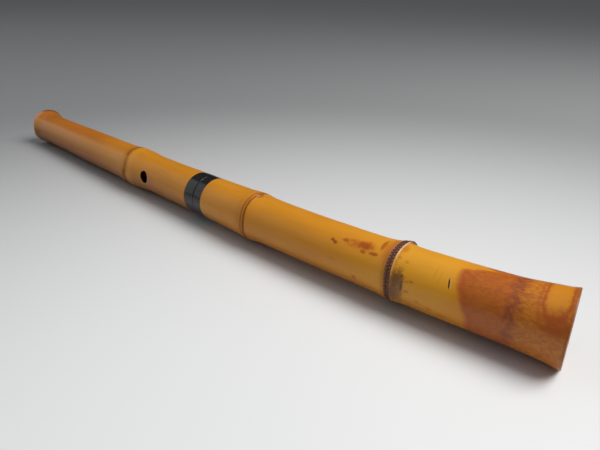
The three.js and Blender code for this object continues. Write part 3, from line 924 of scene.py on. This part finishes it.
# The two joint bands: a flat winding let in flush round each side of the joint, filled and covered with black
# lacquer. Each stops at the seam with an eased edge, and its outer edge is worn to brown.
band_sides = 192
band_depth = 0.8
winding_pitch = 1.15
band_turns = np.linspace(0, 2 * math.pi, band_sides, endpoint=False)


def band(name, start, end, seam):
    far = start if seam == end else end
    made_rings = []
    for at in np.linspace(start, end, 40):
        ease = 0.28 * (1 - min(1, abs(at - seam) / 0.35)) ** 2
        tuck = 0.06 * (1 - min(1, abs(at - far) / 0.3)) ** 2
        ripple = 0.012 * np.sin(2 * math.pi * at / winding_pitch + 0.4 * np.sin(band_turns))
        made_rings.append((at, plain_reach(at) + natural_swell(at, band_turns) - ease - tuck + ripple))
    made_rings += [(at, even(band_sides, plain_reach(at) - band_depth)) for at in (end, start)]
    return lathe(name, made_rings)


upper_band = band("upper_band", 274.15, 284.92, 284.92)
lower_band = band("lower_band", 285.08, 293.85, 285.08)
band_look, surface, straight = new_finish("black_lacquer", 0.0, 0.12)
cloudy = noise(straight, (120, 160, 160), 3.0, 0.6)
colour = mixed(ramp(cloudy, 0.4, 0.7), (0.002, 0.002, 0.002), (0.005, 0.005, 0.005))
worn = ring_line(straight, 274.1, 0.22, ragged=0.3) + ring_line(straight, 293.9, 0.22, ragged=0.3)
colour = lay(colour, worn, 0.8, (0.16, 0.035, 0.012))
paint(surface, colour, cloudy * 0.12 + 0.12, noise(straight, (900, 40, 40)), 0.00003)
finish_piece(upper_band, "upper_joint_band", "upper_length", band_look, 40)
finish_piece(lower_band, "lower_joint_band", "lower_length", band_look, 40)

# Lower length of bamboo: from the joint to the root end, with two nodes, three finger holes and the flared
# bell. The root end was heated and bent, which left the red-brown burn behind the bell.
lower_start = 285.08
lower_band_end = 294.0
bell_round = 0.5
lower_wall = 1.75
socket_reach = 12.23
lower_close = [
    (middle_node - 1.2, 3.6, 0.16),
    (middle_node, 9, 0.7),
    (root_node, 3.6, 0.16),
    (root_node, 9, 0.7),
    (528, 16, 0.9),
    (487, 2, 0.3),
]
pits = [(460.4, 60, 0.8, 0.14), (465.5, 70, 0.9, 0.12), (462, 98, 1.0, 0.18), (468, 112, 0.8, 0.1)]


def dents(at, turn):
    """The scar of a root branch, the drying crack and a few small pits."""
    depth = 0.35 * bump(at - 463, 4.0) * turn_bump(turn, 90, 26)
    depth = depth + 0.3 * bump(at - 487.9 - 4.1 * turn_from(turn, 50), 0.4) * turn_bump(turn, 50, 7)
    for pit_place, degrees, size, deep in pits:
        depth = depth + deep * bump(at - pit_place, size) * turn_bump(turn, degrees, 3.2 * size)
    return depth


rings = [(at, even(skin_sides, plain_reach(at) - seat_depth)) for at in (lower_start, lower_band_end)]
for at in places_between(lower_band_end, flute_length - bell_round, 1.6, lower_close):
    rings.append((at + drawn_down(at, all_turns), skin_reach(at, all_turns) - dents(at, all_turns)))
bell_reach = float(plain_reach(flute_length - bell_round))
for step in np.linspace(0, math.pi / 2, 5)[1:]:
    bell_rim = bell_reach - bell_round + bell_round * math.cos(step) - bell_trim(flute_length, all_turns)
    rings.append((flute_length - bell_round + bell_round * math.sin(step), bell_rim))
for at in np.linspace(flute_length, socket_end, 50):
    rings.append((at, even(skin_sides, bore_reach(at) + lower_wall)))
rings += [(at, even(skin_sides, socket_reach)) for at in (socket_end, lower_start)]
lower_tube = lathe("lower_length", rings)
cut_away(lower_tube, drills(third_hole, second_hole, first_hole))

lower_look, surface, straight = new_finish("lower_bamboo", skin_coat, 0.2, 0.3)
place, angle = place_and_angle(straight)
golden = ramp(place, 0.41, 0.465)
lower_pale = mixed(golden, (0.66, 0.262, 0.009), (0.7, 0.315, 0.016))
lower_deep = mixed(golden, (0.52, 0.19, 0.006), (0.58, 0.23, 0.01))
bamboo = grown(straight, lower_pale, lower_deep, fibre=0.25, mottle=0.24, flecks=0.2)
# painted shade: darker towards the underside
painted_underside_shade = ramp(abs(angle - 2.7), 0.95, 0.5)
colour = lay(bamboo["Color"], painted_underside_shade, 0.5, (0.36, 0.1, 0.006))
dull = painted_underside_shade * 0.0


def lay_rings(straight, colour, dull, node, drawing, rings):
    """Lays rings at offsets from a node on a colour, and adds them to what is dull."""
    for offset, half_width, share, shade in rings:
        line = ring_line(straight, node + offset, half_width, *drawing)
        colour = lay(colour, line, share, shade)
        dull = dull.worked("MAXIMUM", line * share)
    return colour, dull


middle_rings = [
    (-5.5, 3.0, 0.3, (0.45, 0.14, 0.012)),
    (0.0, 1.05, 0.97, (0.2, 0.055, 0.001)),
    (-2.6, 1.0, 0.9, (0.32, 0.09, 0.004)),
]
colour, dull = lay_rings(straight, colour, dull, middle_node, (*middle_drawn, 0.35), middle_rings)
middle_stains = [
    (343.2, 4, 2.4, 9, 0.4, 0.25, 500.0, 0.7, (0.33, 0.1, 0.02)),
    (341.6, 6, 0.9, 4, 0.4, 0.2, 500.0, 0.8, (0.42, 0.3, 0.17)),
    (342.6, -6, 0.8, 4, 0.3, 0.2, 500.0, 0.8, (0.2, 0.06, 0.015)),
]
colour = lay_stains(straight, colour, middle_stains)
# the stains above the root node
speckle = ramp(noise(straight, (420, 560, 560), 4.0, 0.65), 0.44, 0.56) * 0.55 + 0.35
cloud = mark(straight, 429.5, 35, 7.5, 11, 0.45, 0.3, 240.0)
cloud = cloud.worked("MAXIMUM", mark(straight, 436, 31, 5.0, 11, 0.45, 0.3, 240.0))
colour = lay(colour, cloud, speckle, (0.48, 0.11, 0.004))
root_stains = [
    (414.2, 43.6, 1.5, 3.5, 0.4, 0.3, 500.0, 0.85, (0.25, 0.05, 0.0)),
    (416.2, 47, 1.5, 4.0, 0.4, 0.3, 500.0, 0.85, (0.25, 0.05, 0.0)),
    (422, 35, 1.9, 3.5, 0.4, 0.3, 500.0, 0.75, (0.32, 0.07, 0.0)),
    (442.2, 44, 3.0, 3.6, 0.4, 0.3, 500.0, 0.9, (0.36, 0.075, 0.0)),
    (435.5, 47, 1.8, 3.4, 0.4, 0.3, 500.0, 0.8, (0.38, 0.07, 0.0)),
    (435.0, 33, 4.4, 7.5, 0.5, 0.35, 400.0, 0.85, (0.33, 0.06, 0.0)),
    (445.2, 16, 1.3, 15, 0.5, 0.25, 400.0, 0.85, (0.33, 0.08, 0.0)),
    (449.3, 20, 3.4, 32, 0.6, 0.25, 200.0, 0.6, (0.5, 0.12, 0.004)),
    (432.5, 108, 1.3, 4.5, 0.5, 0.3, 500.0, 0.85, (0.4, 0.07, 0.0)),
    (417, 82, 2.8, 3.0, 0.6, 0.3, 500.0, 0.35, (0.4, 0.13, 0.0)),
]
colour = lay_stains(straight, colour, root_stains)
# the root ring, a painted glint along the ridge on its bell side, and the scar of a root branch
root_rings = [
    (0.0, 2.2, 0.95, (0.075, 0.024, 0.02)),
    (-3.0, 1.3, 0.4, (0.36, 0.1, 0.016)),
    (3.6, 0.8, 0.35, (0.4, 0.13, 0.02)),
]
colour, dull = lay_rings(straight, colour, dull, root_node, (*root_drawn, 0.5), root_rings)
# painted highlight: a thin pale glint along the ridge on the root node's bell side, brightest on top
ridge_glint = ring_line(straight, root_node + 2.45, 0.26, *root_drawn, ragged=0.4)
colour = lay(colour, ridge_glint, ramp(angle, 0.25, 0.8, 0.8, 0.18), (0.85, 0.64, 0.5))
scar_stains = [
    (453.8, -34, 4.2, 18, 0.3, 0.15, 400.0, 0.95, (0.07, 0.026, 0.02)),
    (460.0, 90, 4.3, 36, 0.35, 0.35, 500.0, 0.85, (0.22, 0.095, 0.022)),
    (459.5, 76, 2.6, 14, 0.5, 0.5, 700.0, 0.6, (0.12, 0.045, 0.012)),
    (458.5, 104, 2.6, 14, 0.5, 0.5, 700.0, 0.55, (0.12, 0.05, 0.015)),
    (463.2, 84, 0.8, 9, 0.4, 0.4, 420.0, 0.75, (0.075, 0.03, 0.02)),
    (462.6, 64, 0.7, 4, 0.5, 0.4, 420.0, 0.7, (0.1, 0.045, 0.02)),
    (468.4, 70, 1.3, 2.6, 0.5, 0.35, 600.0, 0.75, (0.42, 0.12, 0.0)),
    (466.0, 72, 0.9, 2.2, 0.6, 0.35, 600.0, 0.7, (0.42, 0.12, 0.0)),
    (466.8, 91, 1.2, 2.6, 0.5, 0.35, 500.0, 0.75, (0.45, 0.12, 0.0)),
    (473, 105, 1.1, 3.0, 0.5, 0.3, 500.0, 0.75, (0.5, 0.12, 0.0)),
    (480, 112, 1.8, 4.0, 0.6, 0.35, 400.0, 0.7, (0.52, 0.11, 0.0)),
    (487, 118, 2.8, 5.0, 0.6, 0.35, 400.0, 0.7, (0.52, 0.11, 0.0)),
    (479.5, 38, 0.5, 13, 0.6, 0.25, 300.0, 0.2, (0.42, 0.17, 0.015)),
    (482.5, 46, 0.5, 12, 0.6, 0.25, 300.0, 0.2, (0.42, 0.17, 0.015)),
    (457.5, 10, 2.0, 9, 0.6, 0.35, 500.0, 0.65, (0.46, 0.14, 0.0)),
    (457.8, 33, 1.0, 3, 0.6, 0.3, 500.0, 0.55, (0.42, 0.13, 0.0)),
    (462.5, 37, 1.0, 3, 0.6, 0.3, 500.0, 0.55, (0.42, 0.13, 0.0)),
]
colour = lay_stains(straight, colour, scar_stains)
# the heat patch behind the bell, which leaves a strip on top bare and fades away at the back
burn_noise = noise(straight, (160, 260, 260), 3.0, 0.6) - 0.5
past_start = place - (burn_noise * 0.0028 + ramp(angle, 0.5, 1.9, 0.491, 0.4995))
off_strip = abs(angle + 0.13) + burn_noise * 0.25 - ramp(place, 0.488, 0.512, 0.38, -0.08)
facing = (angle - 1.22).worked("COSINE") + burn_noise * 0.9
burn = ramp(past_start, -0.0022, 0.0024) * ramp(off_strip, -0.08, 0.08) * ramp(facing, -0.95, -0.35, 0.3, 1.0)
burn_grain = noise(straight, (200, 1300, 1300), 4.0, 0.65)
burn_flow = noise(straight, (300, 500, 500), 4.0, 0.65)
figure = (noise(straight, (45, 130, 130), 2.0, 0.45) * 95.0).worked("SINE")
figure = ramp(figure, -0.2, 0.9) * ramp(burn_grain, 0.3, 0.6)
flank = ramp(angle, 0.55, 1.0) * ramp(angle, 1.9, 1.3, 0.6, 1.0)
burn_colour = mixed(ramp(place, 0.519, 0.525), (0.43, 0.1, 0.004), (0.52, 0.17, 0.006))
burn_colour = lay(burn_colour, figure, 0.55, (0.26, 0.046, 0.008))
burn_colour = lay(burn_colour, ramp(burn_flow, 0.46, 0.6), 0.5, (0.26, 0.05, 0.01))
burn_colour = lay(burn_colour, flank, 0.3, (0.34, 0.1, 0.025))
colour = lay(colour, ramp(place, 0.482, 0.498), 0.4, (0.56, 0.17, 0.005))
colour = lay(colour, burn, 0.92, burn_colour)
colour = lay(colour, burn * ramp(past_start, 0.001, 0.005, 1.0, 0.0), 0.45, (0.4, 0.05, 0.018))
# the purple streak across the patch
streak = ring_line(straight, 519.2, 2.6, ragged=14.0) * ramp(burn_flow, 0.34, 0.56, 0.35, 1.0)
colour = lay(colour, streak, ramp(abs(angle - 0.8), 0.9, 1.7, 0.75, 0.3), (0.2, 0.045, 0.022))
# the clear window round a knot by the bell, with its two lines
window_power = 3.5
off_place = abs((place - 0.5372) / 0.0051) ** window_power
off_angle = abs((angle - 0.05) / 0.78) ** window_power
knot_wave = (noise(straight, (170, 170, 170)) - 0.5) * 0.45
from_knot = (off_place + off_angle) ** (1 / window_power) + knot_wave
colour = lay(colour, ramp(from_knot, 0.7, 1.15, 1.0, 0.0), 0.85, (0.57, 0.21, 0.006))
for line_at, sharpness, share in ((1.14, 8.0, 0.8), (1.52, 7.0, 0.4)):
    colour = lay(colour, fading((from_knot - line_at) * sharpness), share, (0.34, 0.055, 0.005))
bell_stains = [
    (523, -31, 22, 14, 0.3, 0.1, 200.0, 0.65, (0.22, 0.06, 0.012)),
    (540, 64, 6.5, 11, 0.45, 0.3, 250.0, 0.65, (0.32, 0.065, 0.012)),
    (539, 38, 1.0, 5, 0.5, 0.3, 500.0, 0.5, (0.35, 0.13, 0.02)),
]
colour = lay_stains(straight, colour, bell_stains)
colour = lay(colour, ramp(place, 0.543, 0.5447), 0.6, (0.2, 0.06, 0.012))
# a drying crack: a near-black line, with a pale line along one side
crack_angle, crack_place, crack_lean, crack_half_angle = 0.873, 0.4879, 0.0041, 0.16
across_crack = angle - crack_angle
past_crack = place - (across_crack * crack_lean + crack_place)
high = across_crack / crack_half_angle
crack_layers = [(0.0009, 0.00045, 0.35, (0.75, 0.42, 0.12)), (0.0, 0.00042, 1.0, (0.01, 0.006, 0.005))]
for shift, half, share, shade in crack_layers:
    off = (past_crack - shift) / half
    colour = lay(colour, ramp(off * off + high * high, 0.6, 1.4, 1.0, 0.0), share, shade)
# the cut face of the root end, and the walls of the finger holes
cut_face = cut_wood(straight, (0.42, 0.19, 0.05), (0.2, 0.075, 0.018))
colour = mixed(ramp(place, 0.54485, 0.54498), colour, cut_face)
hole_wall = ramp(out_from_centre(straight), 0.0146, 0.0152, 1.0, 0.0) * ramp(place, 0.53, 0.5)
colour = mixed(hole_wall, colour, hole_dark)
paint(surface, colour, dull * dull_roughness + bamboo["Roughness"], bamboo["Height"], skin_relief)
(dull * -skin_coat + skin_coat).put(surface.inputs["Coat Weight"])
finish_piece(lower_tube, "lower_tube", "lower_length", lower_look)

# Root buds: two staggered rows of small hard beads on the root node, where roots were trimmed off and rubbed
# down. They are part of the culm, and darker than it.
buds_in_row = 52
bud_row_offset = 1.05
bud_half, bud_height = 0.8, 0.62
bud_bury, bud_root = 0.12, 0.15
bud_columns, bud_rows = 12, 5
chance = np.random.default_rng(7)
bud_points, bud_faces, bud_rise = [], [], []
for row, row_place in enumerate((root_node - bud_row_offset, root_node + bud_row_offset)):
    for index in range(buds_in_row):
        turn = 2 * math.pi * (index + row / 2) / buds_in_row + chance.normal(0, 0.006)
        at = row_place + chance.normal(0, 0.09)
        at_drawn = at + float(drawn_down(at, turn))
        base = float(skin_reach(at, turn)) - bud_bury
        half = bud_half * chance.uniform(0.86, 1.08)
        height = bud_height * chance.uniform(0.8, 1.1)
        centre, out, ahead, across = axes_at(at_drawn, turn, base)
        first = len(bud_points)
        for level in range(bud_rows):
            rise = level / bud_rows * math.pi / 2
            flat = half * math.cos(rise) ** 0.75
            for column in range(bud_columns):
                spin = 2 * math.pi * column / bud_columns
                aside = math.cos(spin) * ahead + math.sin(spin) * across
                bud_points.append(centre + flat * aside + height * math.sin(rise) * out)
                bud_rise.append(math.sin(rise))
        bud_points += [centre + height * out, centre - bud_root * out]
        bud_rise += [1.0, 0.0]
        top = first + (bud_rows - 1) * bud_columns
        peak = first + bud_rows * bud_columns
        for column in range(bud_columns):
            beside = (column + 1) % bud_columns
            for low in range(first, top, bud_columns):
                high = low + bud_columns
                bud_faces.append([low + column, low + beside, high + beside, high + column])
            bud_faces.append([top + column, top + beside, peak])
            bud_faces.append([first + beside, first + column, peak + 1])
buds = solid("root_buds", bud_points, bud_faces)
risen = buds.data.attributes.new("rise", "FLOAT", "POINT")
risen.data.foreach_set("value", bud_rise)
bud_look, surface, straight = new_finish("bud_brown", 0.0, 0.2, 0.2)
patchy = noise(straight, (700, 700, 700))
colour = mixed(ramp(patchy, 0.4, 0.62), (0.07, 0.026, 0.02), (0.1, 0.036, 0.028))
rise = through(straight.tree, "Attribute", {}, "Fac", attribute_name="rise")
# paler on top of each bead: partly the rubbed-down tops, partly a painted highlight
colour = lay(colour, ramp(rise, 0.75, 0.97), 0.75, (0.25, 0.125, 0.1))
paint(surface, colour, patchy * 0.2 + 0.42, patchy, 0.00006)
finish_piece(buds, None, "lower_length", bud_look, 60)
